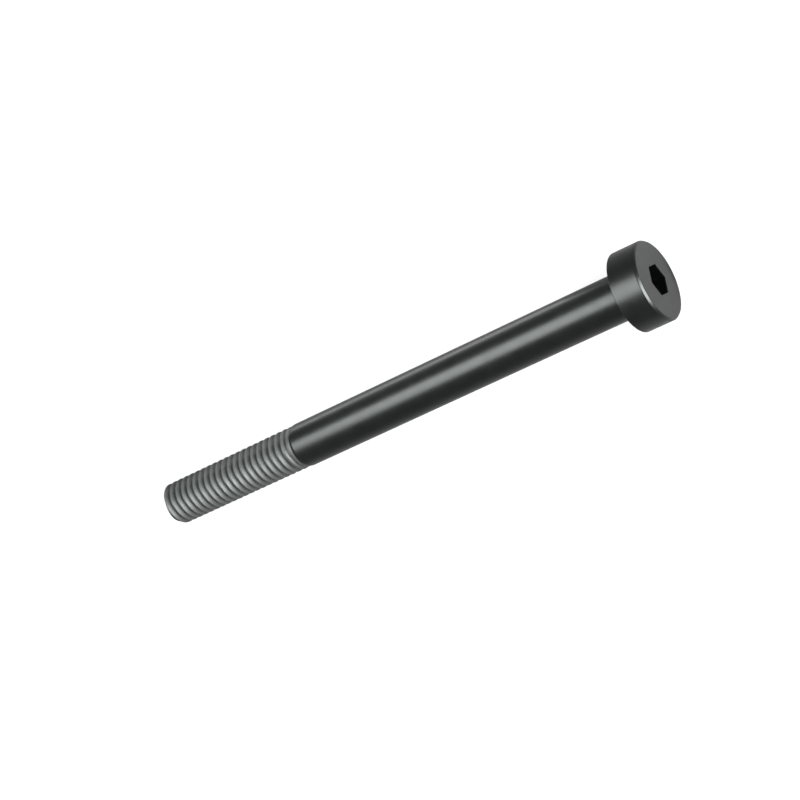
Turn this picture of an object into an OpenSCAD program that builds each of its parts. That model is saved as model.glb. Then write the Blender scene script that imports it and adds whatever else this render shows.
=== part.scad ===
// Low-head hex socket cap screw with a part-threaded shank.
// It is one forged, turned and thread-rolled piece, lying on a bench as it comes to rest:
// the rim of the bearing face and the crests near the tip touch the surface z = 0.

/* [Shank] */
// Length under the head
length = 50; // [30:1:80]
// Diameter of the plain shank
shank_d = 4; // [3.98:0.01:4.2]
// Radius of the fillet under the head
neck_fillet = 0.25; // [0.15:0.01:0.4]

/* [Head] */
// Diameter of the head
head_d = 7; // [6.5:0.1:9]
// Height of the head
head_h = 2.66; // [2.6:0.01:4]
// Width of the chamfer round the top face
head_chamfer = 0.15; // [0.05:0.01:0.3]
// Depth of that chamfer down the side
head_chamfer_depth = 0.2; // [0.05:0.01:0.4]
// Broken edge on the rim of the bearing face
rim_break = 0.04; // [0.02:0.01:0.1]

/* [Socket] */
// Width of the hexagon across its flats
socket_flats = 2.5; // [2:0.1:3]
// Depth of the full hexagon
socket_depth = 2.3; // [1.2:0.1:2.4]
// Included angle of the cone at the bottom of the socket
socket_cone = 120; // [100:5:150]

/* [Thread] */
// Length from the tip to the end of the run-out
thread_length = 15.5; // [8:0.5:24]
// Pitch of the thread
pitch = 0.7; // [0.6:0.01:0.8]
// Diameter over the crests
crest_d = 3.93; // [3.8:0.01:3.96]
// Included angle between the flanks
flank_angle = 60; // [55:1:60]
// Height of the crest that the tip chamfer takes off, on the side that lies on the bench
thread_start = 0.01; // [0:0.01:0.06]
// Depth of the chamfer at the tip, below the crests
tip_chamfer = 0.3; // [0.15:0.01:0.5]
// Length over which the thread fades out
runout_length = 0.9; // [0.7:0.05:1.6]
// Diameter at the foot of the shoulder, where the thread has faded out
neck_d = 3.84; // [3.5:0.01:3.9]
// Slope of that shoulder, measured from the axis
shoulder_angle = 15; // [10:1:50]
// Facets in one turn of the thread
thread_facets = 30; // [24:2:36]

/* [Hidden] */

$fn = 96;
black_oxide = "#3b3e3d";

shank_r = shank_d / 2;
head_r = head_d / 2;
crest_r = crest_d / 2;
neck_r = neck_d / 2;

// A metric thread: crests an eighth of the pitch wide, and roots 0.6134 of the pitch deep.
crest_w = pitch / 8;
thread_depth = 0.6134 * pitch;
root_r = crest_r - thread_depth;
root_w = pitch - crest_w - 2 * thread_depth * tan(flank_angle / 2);

// What is left of the groove, at the foot of the shoulder.
faded_depth = 0.02;

// Where the first full crest begins, on the side that lies on the bench: one turn above the cut one.
first_crest = thread_start + pitch;

// The tip chamfer is a 45 degree cone, so it is as long as it is deep.
tip_r = crest_r - tip_chamfer;
head_top = length + head_h;

// How far one piece of the body reaches into the next, so that they fuse into one solid.
overlap = 0.1;

// The tilt at which the rim of the bearing face and the first crest both touch the bench.
rim_z = length + rim_break;
tilt = atan((head_r - crest_r) / (rim_z - first_crest));
axis_drop = head_r * cos(tilt) - rim_z * sin(tilt);
tip_reach = -tip_r * sin(tilt);
head_reach = (head_r - head_chamfer) * sin(tilt) + head_top * cos(tilt);

// Where the shoulder starts: the end of the shank is a little wider than the neck that enters it.
seat_r = neck_r + faded_depth;
seat_z = thread_length - (shank_r - seat_r) / tan(shoulder_angle);

// Head, plain shank and shoulder in half section.
module body_section() {
    polygon([
        [0, seat_z],
        [seat_r, seat_z],
        [shank_r, thread_length],
        [shank_r, length],
        [head_r - rim_break, length],
        [head_r, rim_z],
        [head_r, head_top - head_chamfer_depth],
        [head_r - head_chamfer, head_top],
        [0, head_top],
    ]);
    neck_section();
}

// The fillet in the corner between the shank and the bearing face.
module neck_section() {
    difference() {
        translate([shank_r - overlap, length - neck_fillet])
            square([neck_fillet + overlap, neck_fillet + overlap]);
        translate([shank_r + neck_fillet, length - neck_fillet])
            circle(neck_fillet);
    }
}

// How far the thread has faded at height z: 0 below the run-out and 1 at the shoulder.
function fade(z) = min(1, max(0, (z - seat_z + runout_length) / runout_length));

// The crest comes down to the neck as the groove comes up to it.
function crest_at(z) = crest_r + fade(z) * (neck_r - crest_r);
function depth_at(z) = thread_depth + fade(z) * (faded_depth - thread_depth);

// One side of the groove whose middle is at height z, as [radius, height] at the root and the crest.
function root_corner(z, side) = [crest_at(z) - depth_at(z), z + side * root_w / 2];
function crest_corner(z, side) =
    [crest_at(z), z + side * (root_w / 2 + depth_at(z) * tan(flank_angle / 2))];

// Turns made by a step: half a facet in, so that a flat of the crest and not its corner lies on the bench.
function turns_at(step) = (step + 0.5) / thread_facets;

// The threaded core as one solid: the ridge between two turns of the groove is carried round the axis
// as it climbs, and the turns join at the roots. Each end is a helical ramp about a point on the axis.
module threaded_core() {
    corners = 4;
    last = corners - 1;
    start_z = first_crest - root_w / 2 - (pitch - crest_w - root_w) / 2 - 2 * pitch;
    steps = ceil((seat_z - start_z) / pitch + 2) * thread_facets;
    end_z = start_z + pitch * turns_at(steps);
    function at(step, corner) = step * corners + corner;
    bottom = at(steps + 1, 0);
    top = bottom + 1;
    polyhedron(
        points = [
            for (step = [0:steps])
                let (
                    angle = 360 * turns_at(step),
                    z = start_z + pitch * turns_at(step),
                    ridge = [
                        root_corner(z, 1), crest_corner(z, 1),
                        crest_corner(z + pitch, -1), root_corner(z + pitch, -1),
                    ]
                )
                    for (corner = ridge)
                        [corner[0] * cos(angle), corner[0] * sin(angle), corner[1]],
            [0, 0, start_z + pitch / 2],
            [0, 0, end_z + pitch / 2],
        ],
        faces = [
            // flanks and crest
            for (step = [0:steps - 1], corner = [0:last - 1])
                each quad(
                    at(step, corner), at(step + 1, corner),
                    at(step + 1, corner + 1), at(step, corner + 1)
                ),
            // root, which closes one turn onto the next
            for (step = [0:steps - 1 - thread_facets])
                each quad(
                    at(step, last), at(step + 1, last),
                    at(step + 1 + thread_facets, 0), at(step + thread_facets, 0)
                ),
            // the ramp at each end
            for (step = [0:thread_facets - 1])
                [bottom, at(step, 0), at(step + 1, 0)],
            for (step = [steps - thread_facets:steps - 1])
                [top, at(step + 1, last), at(step, last)],
            // the step where each ramp has gone once round
            [bottom, at(thread_facets, 0), for (corner = [last:-1:0]) at(0, corner)],
            [top, at(steps - thread_facets, last), for (corner = [0:last]) at(steps, corner)],
        ]
    );
}

// Two triangles in place of a four-sided patch that isn't flat.
function quad(a, b, c, d) = [[a, d, c], [a, c, b]];

// What the chamfer leaves of the thread at its tip, and well clear of the crests above it.
module tip_envelope() {
    clear_r = crest_r + overlap;
    rotate_extrude()
        polygon([
            [0, 0],
            [tip_r, 0],
            [clear_r, clear_r - tip_r],
            [clear_r, thread_length + 2 * pitch],
            [0, thread_length + 2 * pitch],
        ]);
}

// The forged socket: a hexagon on the axis, whose punch ended in a cone.
module socket() {
    cone_r = socket_flats / sqrt(3);
    cone_h = cone_r / tan(socket_cone / 2);
    intersection() {
        translate([0, 0, head_top - socket_depth - cone_h])
            linear_extrude(socket_depth + cone_h + overlap)
                circle(r = socket_flats / sqrt(3), $fn = 6);
        rotate_extrude()
            polygon([
                [0, head_top - socket_depth - cone_h],
                [cone_r + overlap, head_top - socket_depth + overlap / tan(socket_cone / 2)],
                [cone_r + overlap, head_top + 2 * overlap],
                [0, head_top + 2 * overlap],
            ]);
    }
}

// The screw along +Z, with its tip at the origin.
module upright_screw() {
    difference() {
        rotate_extrude() body_section();
        socket();
    }
    intersection() {
        threaded_core();
        tip_envelope();
    }
}

// Laid on the bench with the head towards +X, and centred over the origin.
module cap_screw() {
    color(black_oxide)
        translate([-(head_reach + tip_reach) / 2, 0, axis_drop])
            rotate([0, 90 - tilt, 0])
                upright_screw();
}

cap_screw();
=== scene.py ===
"""Looks of the cap screw: its finished surfaces, black oxide finish, floor, lamps and camera."""

import math
from collections import namedtuple

import bpy
from bpy.props import FloatProperty, PointerProperty, StringProperty
from mathutils import Matrix, Vector


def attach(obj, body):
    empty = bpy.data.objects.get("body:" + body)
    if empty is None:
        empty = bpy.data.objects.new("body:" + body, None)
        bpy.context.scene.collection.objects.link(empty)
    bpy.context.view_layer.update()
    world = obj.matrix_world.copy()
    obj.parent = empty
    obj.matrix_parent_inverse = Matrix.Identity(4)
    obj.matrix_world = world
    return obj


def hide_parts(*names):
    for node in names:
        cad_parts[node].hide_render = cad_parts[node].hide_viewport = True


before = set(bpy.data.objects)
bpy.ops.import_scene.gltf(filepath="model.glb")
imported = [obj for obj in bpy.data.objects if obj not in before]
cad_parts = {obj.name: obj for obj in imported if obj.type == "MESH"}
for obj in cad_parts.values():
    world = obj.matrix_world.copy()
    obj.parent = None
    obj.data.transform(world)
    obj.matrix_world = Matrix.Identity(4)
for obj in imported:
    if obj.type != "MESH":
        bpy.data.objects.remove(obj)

bl_info = {
    "name": "Cap screw",
    "version": (1, 0, 0),
    "blender": (4, 5, 0),
    "location": "3D View > Sidebar > Cap screw",
    "description": "Models a low-head hex socket cap screw with a part-threaded shank, and its studio",
    "category": "Add Mesh",
}

MM = 0.001
FULL_TURN = 2 * math.pi

# Fineness of the mesh
AROUND = 192  # sides of everything round, a whole number for each flat of the hexagon
THREAD_STEPS = 96  # steps in one turn of the thread
FILLET_SEGMENTS = 8  # of the fillet under the head
EDGE_SEGMENTS = 3  # of the other rounded edges
THREAD_SEGMENTS = 2  # of the rounded corners of the thread
SMOOTH_UNDER = math.radians(32)  # faces that meet at less than this are shaded as one surface

# Tolerances of the modelling, in mm
WELD = 1e-4  # two points this close are one
ON_RIM = 0.005  # a point this close to the turned rim lies on it

# Small forms, in mm
SUPPORT = 0.12  # from a rounded edge to the ring of edges that holds the surface beside it flat
MOUTH_BREAK = 0.02  # the broken edge of the socket's mouth
ROOT_ROUND = 0.04  # rounding of the thread's roots
CREST_ROUND = 0.02  # rounding of the thread's crests
FADED_DEPTH = 0.02  # what is left of the groove at the foot of the shoulder
CUT_MARGIN = 0.3  # how far past its ends the thread is cut off square, to be trimmed or buried
TOOL_CLEARANCE = 0.2  # from the crests to the wall of the tool that cuts the tip
TOOL_REACH = 1.0  # how far that tool goes past the thread

# Form of the thread, as shares of its pitch
THREAD_DEPTH = 0.6134
CREST_FLAT = 1 / 8

# Whole turns that the ridge is carried past each end of the thread
TURNS_BELOW = 3
TURNS_ABOVE = 2

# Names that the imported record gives
NODE = "cap_screw"
BODY = "root"

# Where the camera stood, in mm, and how it was turned, in degrees
CAMERA_PLACE = (90.086, 0, 169.241)
CAMERA_TURN = (-12.8889, 25.5731, -27.9317)
SENSOR_WIDTH = 36.0

FLOOR_SIDE = 6.0  # m


def mm_size(label, text, value):
    """A length in millimetres, as the user sees it."""
    return FloatProperty(
        name=label, description=text, default=value, min=0.0, soft_max=100.0, precision=3
    )


def lamp_level(label, text, value):
    """The radiance of a lamp."""
    return FloatProperty(name=label, description=text, default=value)


class ScrewSizes(bpy.types.PropertyGroup):
    """Sizes of the screw, all in millimetres, as in the part's own drawing"""

    length: mm_size("Length", "Length under the head, in mm", 50.0)
    shank_d: mm_size("Shank diameter", "Diameter of the plain shank, in mm", 4.0)
    neck_fillet: mm_size("Neck fillet", "Radius of the fillet under the head, in mm", 0.25)
    head_d: mm_size("Head diameter", "Diameter of the head, in mm", 7.0)
    head_h: mm_size("Head height", "Height of the head, in mm", 2.66)
    head_chamfer: mm_size("Chamfer width", "Width of the chamfer round the top face, in mm", 0.15)
    head_chamfer_depth: mm_size("Chamfer depth", "Depth of that chamfer down the side, in mm", 0.2)
    rim_break: mm_size("Rim break", "Broken edge on the rim of the bearing face, in mm", 0.04)
    socket_flats: mm_size("Socket", "Width of the hexagon across its flats, in mm", 2.5)
    socket_depth: mm_size("Socket depth", "Depth of the full hexagon, in mm", 2.3)
    thread_length: mm_size(
        "Thread length", "Length from the tip to the end of the run-out, in mm", 15.5
    )
    pitch: mm_size("Pitch", "Pitch of the thread, in mm", 0.7)
    thread_start: mm_size(
        "Thread start", "Height of the crest that the tip chamfer takes off, in mm", 0.01
    )
    crest_d: mm_size("Crest diameter", "Diameter over the crests, in mm", 3.93)
    tip_chamfer: mm_size("Tip chamfer", "Depth of the chamfer at the tip, in mm", 0.3)
    runout_length: mm_size("Run-out", "Length over which the thread fades out, in mm", 0.9)
    neck_d: mm_size("Neck diameter", "Diameter at the foot of the shoulder, in mm", 3.84)
    soft_edge: mm_size("Soft edge", "Rounding of the head's machined edges, in mm", 0.03)
    flank_angle: FloatProperty(
        name="Flank angle",
        description="Included angle between the flanks",
        default=math.radians(60),
        unit="ROTATION",
    )
    shoulder_angle: FloatProperty(
        name="Shoulder",
        description="Slope of the shoulder from the axis",
        default=math.radians(15),
        unit="ROTATION",
    )
    socket_cone: FloatProperty(
        name="Socket cone",
        description="Included angle of the socket's bottom",
        default=math.radians(120),
        unit="ROTATION",
    )


class StudioLooks(bpy.types.PropertyGroup):
    """Colours of the finish and of the studio, and the levels of its lamps"""

    oxide: StringProperty(
        name="Black oxide", description="Colour of the oxide film, sRGB hex", default="#353736"
    )
    oxide_thin: StringProperty(
        name="Thin oxide",
        description="Colour where the film is thinner, sRGB hex",
        default="#3a3c3b",
    )
    # painted sheen: both thread colours are lighter than the oxide, standing in for the light its flanks
    # reflect
    sheen_painted_thread: StringProperty(
        name="Rolled thread", description="Colour of the thread, sRGB hex", default="#4b4e4d"
    )
    sheen_painted_thread_thin: StringProperty(
        name="Worn thread",
        description="Colour where the thread's film is thinner, sRGB hex",
        default="#525554",
    )
    rolled_gloss: FloatProperty(
        name="Thread roughness", description="Least roughness of the thread", default=0.46
    )
    paper: StringProperty(
        name="Floor", description="Colour of the paper floor, sRGB hex", default="#868686"
    )
    lens: FloatProperty(
        name="Lens", description="Focal length on a 36 mm sensor, in mm", default=99.07
    )
    key_power: lamp_level("Key lamp", "Radiance of the overhead lamp", 9.5)
    side_power: lamp_level("Side lamp", "Radiance of the strip that lies beside the shank", 4.0)
    head_power: lamp_level("Head lamp", "Radiance of the lamp beyond the head", 20.0)
    card_power: lamp_level("Head card", "Radiance of the card that lies before the head", 0.62)


def sizes():
    return bpy.context.scene.cap_screw_sizes


def looks():
    return bpy.context.scene.cap_screw_looks


# Derived sizes, in mm, as in the part's own drawing

ThreadForm = namedtuple("ThreadForm", "depth flank root seat_r seat_z first_crest")


def thread_form(s):
    """Depth, flank and root width of the thread, where its shoulder sits, and its first full crest."""
    depth = THREAD_DEPTH * s.pitch
    flank = depth * math.tan(s.flank_angle / 2)
    root = s.pitch - s.pitch * CREST_FLAT - 2 * flank
    seat_r = s.neck_d / 2 + FADED_DEPTH
    seat_z = s.thread_length - (s.shank_d / 2 - seat_r) / math.tan(s.shoulder_angle)
    return ThreadForm(depth, flank, root, seat_r, seat_z, s.thread_start + s.pitch)


def lying_pose(s):
    """Turns the upright screw, in mm, down onto the bench, in metres."""
    head_r, rim_z, top = s.head_d / 2, s.length + s.rim_break, s.length + s.head_h
    tilt = math.atan((head_r - s.crest_d / 2) / (rim_z - thread_form(s).first_crest))
    lift = head_r * math.cos(tilt) - rim_z * math.sin(tilt)
    reach = (head_r - s.head_chamfer) * math.sin(tilt) + top * math.cos(tilt)
    tip = -(s.crest_d / 2 - s.tip_chamfer) * math.sin(tilt)
    shift = -(reach + tip) / 2
    return (
        Matrix.Scale(MM, 4)
        @ Matrix.Translation((shift, 0, lift))
        @ Matrix.Rotation(math.pi / 2 - tilt, 4, "Y")
    )


# Modelling by operators


def deselect():
    if bpy.context.object and bpy.context.object.mode != "OBJECT":
        bpy.ops.object.mode_set(mode="OBJECT")
    bpy.ops.object.select_all(action="DESELECT")


def pick(obj, mode, test):
    """Selects the vertices or edges of the mesh whose points all pass the test, in edit mode."""
    bpy.ops.object.mode_set(mode="EDIT")
    bpy.ops.mesh.select_all(action="DESELECT")
    bpy.ops.mesh.select_mode(type=mode)
    bpy.ops.object.mode_set(mode="OBJECT")
    good = [test(v.co) for v in obj.data.vertices]
    if mode == "VERT":
        for v, ok in zip(obj.data.vertices, good):
            v.select = ok
    else:
        for e in obj.data.edges:
            e.select = good[e.vertices[0]] and good[e.vertices[1]]
    bpy.ops.object.mode_set(mode="EDIT")


def drawn_line(name, points):
    """A line through points (r, z) in the plane y = 0, drawn by extruding one vertex."""
    deselect()
    bpy.ops.mesh.primitive_plane_add(size=1.0, location=(0, 0, 0))
    obj = bpy.context.object
    obj.name = obj.data.name = name
    bpy.ops.object.mode_set(mode="EDIT")
    bpy.ops.mesh.select_mode(type="VERT")
    bpy.ops.mesh.select_all(action="SELECT")
    bpy.ops.mesh.merge(type="CENTER")
    bpy.ops.transform.translate(value=(points[0][0], 0, points[0][1]))
    for (r0, z0), (r1, z1) in zip(points, points[1:]):
        bpy.ops.mesh.extrude_vertices_move(TRANSFORM_OT_translate={"value": (r1 - r0, 0, z1 - z0)})
    return obj


def round_corner(obj, point, radius, segments):
    """Rounds the drawn line where it bends at (r, z)."""
    pick(obj, "VERT", lambda co: math.hypot(co.x - point[0], co.z - point[1]) < WELD)
    bpy.ops.mesh.bevel(
        offset=radius, offset_type="OFFSET", segments=segments, profile=0.5, affect="VERTICES"
    )


def turn_round():
    """Turns the drawn line, which is open in edit mode, once round the axis."""
    bpy.ops.mesh.select_all(action="SELECT")
    bpy.ops.mesh.spin(steps=AROUND, angle=FULL_TURN, center=(0, 0, 0), axis=(0, 0, 1))


def weld(obj):
    bpy.ops.object.mode_set(mode="EDIT")
    bpy.ops.mesh.select_all(action="SELECT")
    bpy.ops.mesh.remove_doubles(threshold=WELD)
    bpy.ops.mesh.normals_make_consistent(inside=False)
    bpy.ops.object.mode_set(mode="OBJECT")


def turned_blank(s):
    """Head, neck, plain shank and shoulder, turned from their half section and open at the top."""
    head_r, shank_r, top = s.head_d / 2, s.shank_d / 2, s.length + s.head_h
    form = thread_form(s)
    corners = {
        (head_r - s.head_chamfer, top): s.soft_edge,
        (head_r, top - s.head_chamfer_depth): s.soft_edge,
        (head_r, s.length + s.rim_break): s.rim_break / 2,
        (head_r - s.rim_break, s.length): s.rim_break / 2,
        (shank_r, s.length): s.neck_fillet,
        (shank_r, s.thread_length): s.soft_edge,
    }
    line = [
        (head_r - s.head_chamfer - SUPPORT, top),
        (head_r - s.head_chamfer, top),
        (head_r, top - s.head_chamfer_depth),
        (head_r, top - s.head_chamfer_depth - SUPPORT),
        (head_r, s.length + s.rim_break + SUPPORT),
        (head_r, s.length + s.rim_break),
        (head_r - s.rim_break, s.length),
        (head_r - s.rim_break - SUPPORT, s.length),
        (shank_r + s.neck_fillet + SUPPORT, s.length),
        (shank_r, s.length),
        (shank_r, s.length - s.neck_fillet - SUPPORT),
        (shank_r, s.thread_length + SUPPORT),
        (shank_r, s.thread_length),
        (form.seat_r, form.seat_z),
        (0, form.seat_z),
    ]
    blank = drawn_line("cap_screw_finish", line)
    for point, radius in corners.items():
        segments = FILLET_SEGMENTS if radius == s.neck_fillet else EDGE_SEGMENTS
        round_corner(blank, point, radius, segments)
    turn_round()
    weld(blank)
    return blank


def cut_socket(s, blank):
    """The hexagon, drawn in the open top face, bridged to it and sunk to its cone."""
    top, corner_r = s.length + s.head_h, s.socket_flats / math.sqrt(3)
    bottom = top - s.socket_depth
    mouth_r = corner_r + MOUTH_BREAK
    rim_r = s.head_d / 2 - s.head_chamfer - SUPPORT
    cone = math.tan(s.socket_cone / 2)
    bpy.ops.object.mode_set(mode="EDIT")
    bpy.ops.mesh.select_all(action="DESELECT")
    bpy.ops.mesh.primitive_circle_add(
        vertices=6,
        radius=mouth_r,
        fill_type="NOTHING",
        location=(0, 0, top),
        rotation=(0, 0, math.pi / 6),
    )
    bpy.ops.mesh.subdivide(number_cuts=AROUND // 6 - 1)
    # the broken edge of the mouth, then the walls
    bpy.ops.mesh.extrude_edges_move(TRANSFORM_OT_translate={"value": (0, 0, -MOUTH_BREAK)})
    shrink = corner_r / mouth_r
    bpy.ops.transform.resize(value=(shrink, shrink, 1), center_override=(0, 0, top))
    bpy.ops.mesh.extrude_edges_move(
        TRANSFORM_OT_translate={"value": (0, 0, MOUTH_BREAK - s.socket_depth)}
    )
    # the cone cuts the flats lower than the corners, by a height that each point's own radius gives
    pick(blank, "VERT", lambda co: abs(co.z - bottom) < WELD and math.hypot(co.x, co.y) < mouth_r)
    bpy.ops.object.mode_set(mode="OBJECT")
    for v in blank.data.vertices:
        if v.select:
            v.co.z -= (corner_r - math.hypot(v.co.x, v.co.y)) / cone
    bpy.ops.object.mode_set(mode="EDIT")
    bpy.ops.mesh.select_mode(type="EDGE")
    bpy.ops.mesh.extrude_edges_move(TRANSFORM_OT_translate={"value": (0, 0, 0)})
    bpy.ops.mesh.select_mode(type="VERT")
    bpy.ops.mesh.merge(type="CENTER")
    bpy.ops.object.mode_set(mode="OBJECT")
    on_axis = [v for v in blank.data.vertices if math.hypot(v.co.x, v.co.y) < WELD]
    apex = max(on_axis, key=lambda v: v.co.z)
    apex.co = (0, 0, bottom - corner_r / cone)
    # the flat top face, from the mouth out to the turned rim
    flat_r = corner_r * math.cos(math.pi / 6)

    def on_mouth_or_rim(co):
        r = math.hypot(co.x, co.y)
        on_mouth = flat_r < r < corner_r + 2 * MOUTH_BREAK
        return abs(co.z - top) < WELD and (on_mouth or abs(r - rim_r) < ON_RIM)

    pick(blank, "EDGE", on_mouth_or_rim)
    bpy.ops.mesh.bridge_edge_loops()
    weld(blank)


def rolled_thread(s):
    """The thread, as one ridge carried up its helix, faded out at the shoulder and cut off square."""
    form = thread_form(s)
    crest_r = s.crest_d / 2
    root_r = crest_r - form.depth
    start = form.first_crest - form.root / 2 - form.flank - TURNS_BELOW * s.pitch
    corners = {
        (root_r, start + form.root / 2): ROOT_ROUND,
        (crest_r, start + form.root / 2 + form.flank): CREST_ROUND,
        (crest_r, start + s.pitch - form.root / 2 - form.flank): CREST_ROUND,
        (root_r, start + s.pitch - form.root / 2): ROOT_ROUND,
    }
    thread = drawn_line("thread", [(root_r, start), *corners, (root_r, start + s.pitch)])
    for point, radius in corners.items():
        round_corner(thread, point, radius, THREAD_SEGMENTS)
    bpy.ops.object.mode_set(mode="OBJECT")
    bpy.ops.object.modifier_add(type="SCREW")
    screw = thread.modifiers[-1]
    screw.axis = "Z"
    screw.angle = FULL_TURN
    screw.screw_offset = s.pitch
    screw.steps = screw.render_steps = THREAD_STEPS
    screw.iterations = math.ceil((form.seat_z - start) / s.pitch) + TURNS_ABOVE
    screw.use_smooth_shade = False
    bpy.ops.object.modifier_apply(modifier=screw.name)
    weld(thread)
    fade_out(s, thread, start)
    cut_square(thread, -CUT_MARGIN, keep_above=True)
    cut_square(thread, form.seat_z + CUT_MARGIN, keep_above=False)
    weld(thread)
    return thread


def cut_square(obj, height, keep_above):
    """Cuts the solid across at a height and closes the cut."""
    bpy.ops.object.mode_set(mode="EDIT")
    bpy.ops.mesh.select_all(action="SELECT")
    bpy.ops.mesh.bisect(
        plane_co=(0, 0, height),
        plane_no=(0, 0, 1),
        use_fill=True,
        clear_inner=keep_above,
        clear_outer=not keep_above,
    )


def fade_out(s, thread, start):
    """Draws the crest down and the groove up to the neck, over the run-out, with the flanks' slope kept."""
    form = thread_form(s)
    crest_r, neck_r, half_root = s.crest_d / 2, s.neck_d / 2, form.root / 2
    for v in thread.data.vertices:
        x, y, z = v.co
        r, angle = math.hypot(x, y), math.atan2(y, x) % FULL_TURN
        along = (z - start - s.pitch * angle / FULL_TURN) % s.pitch
        off = along if along < s.pitch / 2 else along - s.pitch
        groove = z - off
        faded = min(1.0, max(0.0, (groove - form.seat_z + s.runout_length) / s.runout_length))
        if not faded:
            continue
        share = (form.depth + faded * (FADED_DEPTH - form.depth)) / form.depth
        new_r = crest_r + faded * (neck_r - crest_r) - (crest_r - r) * share
        over = max(0.0, abs(off) - half_root)
        new_off = math.copysign(min(abs(off), half_root) + over * share, off)
        v.co = (x * new_r / r, y * new_r / r, groove + new_off)


def tip_tool(s):
    """What the chamfer leaves of the thread at its tip."""
    tip_r, clear_r = s.crest_d / 2 - s.tip_chamfer, s.crest_d / 2 + TOOL_CLEARANCE
    far = s.thread_length + TOOL_REACH
    line = [(0, 0), (tip_r, 0), (clear_r, clear_r - tip_r), (clear_r, far), (0, far)]
    tool = drawn_line("tip_tool", line)
    turn_round()
    weld(tool)
    return tool


def combine(obj, other, operation):
    """Joins or trims one solid by another, and drops the other."""
    deselect()
    obj.select_set(True)
    bpy.context.view_layer.objects.active = obj
    bpy.ops.object.modifier_add(type="BOOLEAN")
    cut = obj.modifiers[-1]
    cut.operation, cut.solver, cut.object = operation, "EXACT", other
    bpy.ops.object.modifier_apply(modifier=cut.name)
    bpy.data.objects.remove(other, do_unlink=True)
    weld(obj)


# Materials


def linear(code):
    """A hex colour, as an sRGB screen shows it, in the linear values that a shader takes."""
    parts = [int(code[i : i + 2], 16) / 255 for i in (1, 3, 5)]
    return [c / 12.92 if c <= 0.04045 else ((c + 0.055) / 1.055) ** 2.4 for c in parts] + [1.0]


def add_node(material, kind, links=(), values=(), **settings):
    """Adds a node with its settings, the values of its sockets, and links from (node, output, input)."""
    tree = material.node_tree
    node = tree.nodes.new(kind)
    for key, value in settings.items():
        setattr(node, key, value)
    for socket, value in dict(values).items():
        node.inputs[socket].default_value = value
    for source, out, socket in links:
        tree.links.new(source.outputs[out], node.inputs[socket])
    return node


def fresh_material(name):
    material = bpy.data.materials.new(name)
    material.use_nodes = True
    material.node_tree.nodes.clear()
    return material


def black_oxide_steel(name, film_codes, gloss_range, metal):
    """Steel with a hot black oxide film under a trace of oil.

    The film is dark and reflects little seen square on and much more at a glance, as a satin, slightly
    cool black. It mottles faintly where it grew thicker, over patches of about a millimetre. Its grain
    is far too fine to show, so it is drawn coarser than it is, at about a tenth of a millimetre.
    """
    mottle_size, grain_size, grain_height = 1.2 * MM, 0.12 * MM, 0.004 * MM
    m = fresh_material(name)
    at = add_node(m, "ShaderNodeTexCoord")
    mottle = add_node(
        m,
        "ShaderNodeTexNoise",
        [(at, "Object", "Vector")],
        {"Scale": 1 / mottle_size, "Detail": 3.0},
    )
    film = add_node(
        m,
        "ShaderNodeMix",
        [(mottle, "Fac", 0)],
        {6: linear(film_codes[0]), 7: linear(film_codes[1])},
        data_type="RGBA",
    )
    gloss = add_node(
        m,
        "ShaderNodeMapRange",
        [(mottle, "Fac", "Value")],
        {"From Min": 0.3, "From Max": 0.7, "To Min": gloss_range[0], "To Max": gloss_range[1]},
    )
    grain = add_node(
        m,
        "ShaderNodeTexNoise",
        [(at, "Object", "Vector")],
        {"Scale": 1 / grain_size, "Detail": 2.0},
    )
    bump = add_node(
        m,
        "ShaderNodeBump",
        [(grain, "Fac", "Height")],
        {"Strength": 0.25, "Distance": grain_height},
    )
    steel = add_node(
        m,
        "ShaderNodeBsdfPrincipled",
        [(film, 2, "Base Color"), (gloss, "Result", "Roughness"), (bump, "Normal", "Normal")],
        {"Metallic": metal},
    )
    add_node(m, "ShaderNodeOutputMaterial", [(steel, "BSDF", "Surface")])
    return m


def seen_level(material, to_eye, to_gloss):
    """A level for rays from the camera or through glass, another for glossy rays, and 0 for matt ones."""
    path = add_node(material, "ShaderNodeLightPath")
    eye = add_node(
        material,
        "ShaderNodeMath",
        [(path, "Is Camera Ray", 0), (path, "Is Transmission Ray", 1)],
        operation="MAXIMUM",
    )
    eye = add_node(material, "ShaderNodeMath", [(eye, 0, 0)], {1: to_eye}, operation="MULTIPLY")
    gloss = add_node(
        material,
        "ShaderNodeMath",
        [(path, "Is Glossy Ray", 0)],
        {1: to_gloss},
        operation="MULTIPLY",
    )
    return add_node(material, "ShaderNodeMath", [(eye, 0, 0), (gloss, 0, 1)], operation="MAXIMUM")


def paper_floor():
    """Matt studio paper that keeps the shadow, and is white to the camera and through glass only.

    Its own colour is a mid grey, because the lamps light it well above a plain level. The lift to white
    is left out of reflections, so the steel shows the grey paper as the lamps light it.
    """
    m = fresh_material("white_studio_paper")
    matt = add_node(m, "ShaderNodeBsdfDiffuse", (), {"Color": linear(looks().paper)})
    level = seen_level(m, to_eye=0.75, to_gloss=0.0)
    glow = add_node(m, "ShaderNodeEmission", [(level, 0, "Strength")])
    both = add_node(m, "ShaderNodeAddShader", [(matt, 0, 0), (glow, 0, 1)])
    add_node(m, "ShaderNodeOutputMaterial", [(both, 0, "Surface")])
    return m


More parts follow.
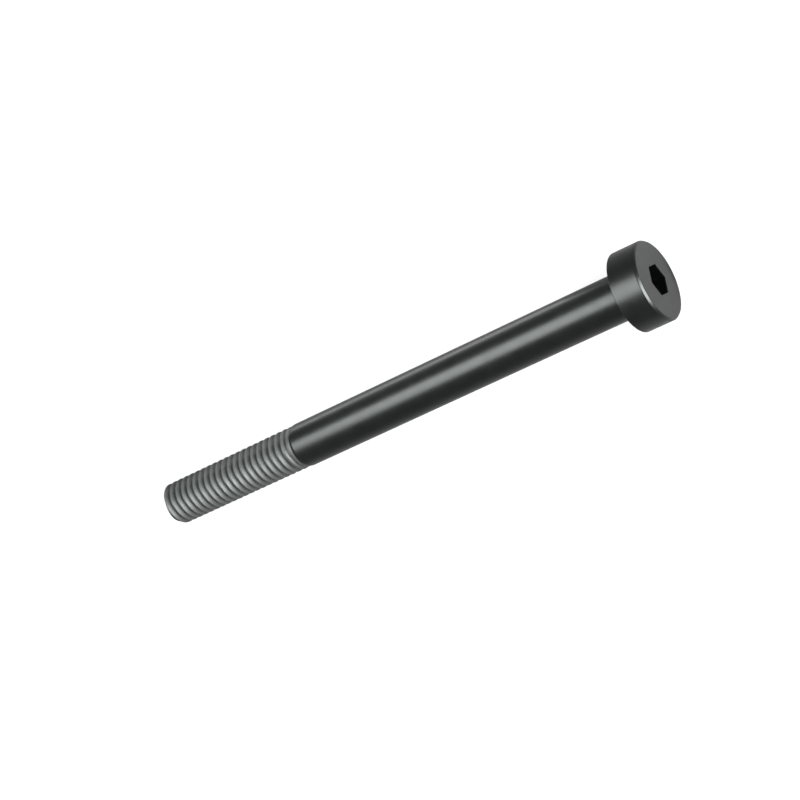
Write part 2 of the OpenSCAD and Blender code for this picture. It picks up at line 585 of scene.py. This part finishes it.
def finish_screw(s, screw):
    """Gives the turned surfaces their finish, and the rolled thread its rougher one, painted lighter as its
    sheen.
    """
    k = looks()
    turned_gloss, gloss_spread, rolled_metal = (0.31, 0.37), 0.08, 0.5
    rolled_gloss = (k.rolled_gloss, k.rolled_gloss + gloss_spread)
    turned = black_oxide_steel("black_oxide_steel", (k.oxide, k.oxide_thin), turned_gloss, 1.0)
    # painted sheen: the thread's lighter colours stand in for the light its flanks reflect
    sheen_painted_thread = black_oxide_steel(
        "thread_oxide_painted_sheen", (k.sheen_painted_thread, k.sheen_painted_thread_thin), rolled_gloss, rolled_metal
    )
    screw.data.materials.clear()
    screw.data.materials.append(turned)
    screw.data.materials.append(sheen_painted_thread)
    seat_z = thread_form(s).seat_z
    upright = lying_pose(s).inverted()
    bpy.ops.object.mode_set(mode="EDIT")
    bpy.ops.mesh.select_mode(type="FACE")
    bpy.ops.mesh.select_all(action="DESELECT")
    bpy.ops.object.mode_set(mode="OBJECT")
    for face in screw.data.polygons:
        face.select = (upright @ face.center).z < seat_z
    bpy.ops.object.mode_set(mode="EDIT")
    screw.active_material_index = screw.data.materials.find(sheen_painted_thread.name)
    bpy.ops.object.material_slot_assign()
    bpy.ops.object.mode_set(mode="OBJECT")


# Stage


def studio_world():
    """White to the camera, half as bright in reflections, and a faint fill for matt surfaces."""
    fill = 0.3
    world = bpy.data.worlds.new("studio")
    bpy.context.scene.world = world
    world.use_nodes = True
    world.node_tree.nodes.clear()
    seen = seen_level(world, to_eye=1.0, to_gloss=0.5)
    level = add_node(world, "ShaderNodeMath", [(seen, 0, 0)], {1: fill}, operation="MAXIMUM")
    sky = add_node(world, "ShaderNodeBackground", [(level, 0, "Strength")])
    add_node(world, "ShaderNodeOutputWorld", [(sky, 0, "Surface")])


def soft_lamp(name, radiance, size, place, target=(0, 0, 0), level=(1, 0, 0)):
    """A rectangular lamp, in mm, that faces its target, with its first side along the level direction."""
    away = (Vector(place) - Vector(target)).normalized()
    along = (Vector(level) - away * away.dot(Vector(level))).normalized()
    turn = Matrix((along, away.cross(along), away)).transposed()
    deselect()
    bpy.ops.object.light_add(
        type="AREA", location=[c * MM for c in place], rotation=turn.to_euler()
    )
    lamp = bpy.context.object
    lamp.name = lamp.data.name = name
    lamp.data.shape = "RECTANGLE"
    lamp.data.size, lamp.data.size_y = size[0] * MM, size[1] * MM
    lamp.data.energy = radiance * math.pi * lamp.data.size * lamp.data.size_y
    lamp.visible_camera = False


def hang_lamps():
    """A key lamp overhead, one beyond the head, and two that lie on the floor and shine up."""
    k = looks()
    soft_lamp(
        "key_lamp", k.key_power, size=(150, 190), place=(-116, 52, 240), level=(1, 0.5, 0)
    )
    # the strip gives the shank its second, narrow highlight
    soft_lamp(
        "side_lamp", k.side_power, size=(36, 11), place=(-3, 13, 0.3), target=(-3, 13, 9)
    )
    soft_lamp(
        "head_lamp", k.head_power, size=(150, 130), place=(170, -38, 112), level=(0, 1, 0)
    )
    # the card is what the face of the head reflects
    soft_lamp(
        "head_card", k.card_power, size=(20, 26), place=(36.6, 0, 0.2), target=(36.6, 0, 9)
    )


def photo_camera():
    """Above the head's end, looking steeply down the screw and rolled, as the photograph was taken."""
    deselect()
    bpy.ops.object.camera_add(location=[c * MM for c in CAMERA_PLACE])
    camera = bpy.context.object
    camera.name = camera.data.name = "photo_camera"
    camera.rotation_euler = [math.radians(a) for a in CAMERA_TURN]
    camera.data.sensor_width = SENSOR_WIDTH
    camera.data.lens = looks().lens
    camera.data.clip_start, camera.data.clip_end = 0.01, 20.0
    bpy.context.scene.camera = camera


class CAPSCREW_OT_screw(bpy.types.Operator):
    """Models the finished screw and lays it on the bench"""

    bl_idname = "capscrew.screw"
    bl_label = "Cap screw"

    def execute(self, context):
        s = sizes()
        screw = turned_blank(s)
        cut_socket(s, screw)
        thread = rolled_thread(s)
        combine(thread, tip_tool(s), "INTERSECT")
        combine(screw, thread, "UNION")
        deselect()
        screw.select_set(True)
        context.view_layer.objects.active = screw
        screw.matrix_world = lying_pose(s)
        bpy.ops.object.transform_apply(location=True, rotation=True, scale=True)
        bpy.ops.object.shade_smooth_by_angle(angle=SMOOTH_UNDER)
        finish_screw(s, screw)
        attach(screw, BODY)
        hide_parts(NODE)
        return {"FINISHED"}


class CAPSCREW_OT_stage(bpy.types.Operator):
    """Lays the floor, hangs the lamps and sets the camera"""

    bl_idname = "capscrew.stage"
    bl_label = "Studio"

    def execute(self, context):
        context.scene.view_settings.view_transform = "Standard"
        studio_world()
        deselect()
        bpy.ops.mesh.primitive_plane_add(size=FLOOR_SIDE, location=(0, 0, 0))
        floor = context.object
        floor.name = floor.data.name = "floor"
        floor.data.materials.append(paper_floor())
        hang_lamps()
        photo_camera()
        return {"FINISHED"}


class CAPSCREW_PT_panel(bpy.types.Panel):
    """Sizes, colours and pieces of the cap screw"""

    bl_idname = "CAPSCREW_PT_panel"
    bl_label = "Cap screw"
    bl_space_type = "VIEW_3D"
    bl_region_type = "UI"
    bl_category = "Cap screw"

    def draw(self, context):
        column = self.layout.column()
        for group in (sizes(), looks()):
            for name in group.__annotations__:
                column.prop(group, name)
        for piece in OPERATORS:
            column.operator(piece.bl_idname)


OPERATORS = (CAPSCREW_OT_screw, CAPSCREW_OT_stage)
CLASSES = (ScrewSizes, StudioLooks, *OPERATORS, CAPSCREW_PT_panel)


def register():
    for cls in CLASSES:
        bpy.utils.register_class(cls)
    bpy.types.Scene.cap_screw_sizes = PointerProperty(type=ScrewSizes)
    bpy.types.Scene.cap_screw_looks = PointerProperty(type=StudioLooks)


def unregister():
    del bpy.types.Scene.cap_screw_looks
    del bpy.types.Scene.cap_screw_sizes
    for cls in reversed(CLASSES):
        bpy.utils.unregister_class(cls)


def main():
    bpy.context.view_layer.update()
    register()
    bpy.ops.capscrew.screw()
    bpy.ops.capscrew.stage()


if __name__ == "__main__":
    main()
